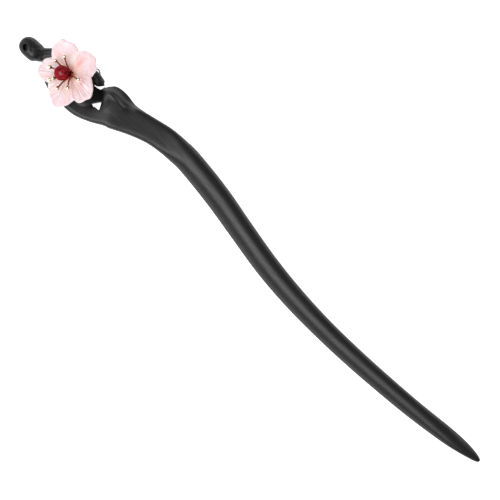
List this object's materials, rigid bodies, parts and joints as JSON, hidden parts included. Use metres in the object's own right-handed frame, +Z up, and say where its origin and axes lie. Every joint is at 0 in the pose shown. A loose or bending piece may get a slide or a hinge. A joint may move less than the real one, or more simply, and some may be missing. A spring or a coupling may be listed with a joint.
{
  "type": "decorative hair pin",
  "caption": "S-curved dark wooden hair stick with a carved openwork head, a slanted pink shell blossom, a red bead and ball-head wire stamens.",
  "frame": {"origin": "centre of the underside of the pin's box, with the pin lying on its flat back", "axes": "+X from the curled end to the point, +Z up through the blossom side, +Y across the head"},
  "size_m": [0.1805, 0.0193, 0.0153],
  "materials": {
    "ebony_wood": "satin, dyed near black",
    "pink_shell": "polished pearly shell",
    "red_glass": "polished, opaque to slightly translucent",
    "dark_wire": "darkened copper-brown wire",
    "brass_wire": "bright gold-tone ball heads on darkened wire",
    "blackened_wire": "blackened fine wire",
    "set_adhesive": "set clear-grey epoxy"
  },
  "bodies": {
    "root": {"wood_stick": "ebony_wood", "shell_flower": "pink_shell", "red_bead": "red_glass", "bead_post": "dark_wire", "stamen_1": "brass_wire", "stamen_2": "brass_wire", "stamen_3": "brass_wire", "stamen_4": "brass_wire", "stamen_5": "brass_wire", "stamen_6": "brass_wire", "stamen_7": "brass_wire", "stamen_8": "brass_wire", "binding_wire": "blackened_wire", "bond_plug": "set_adhesive"}
  },
  "joints": []
}
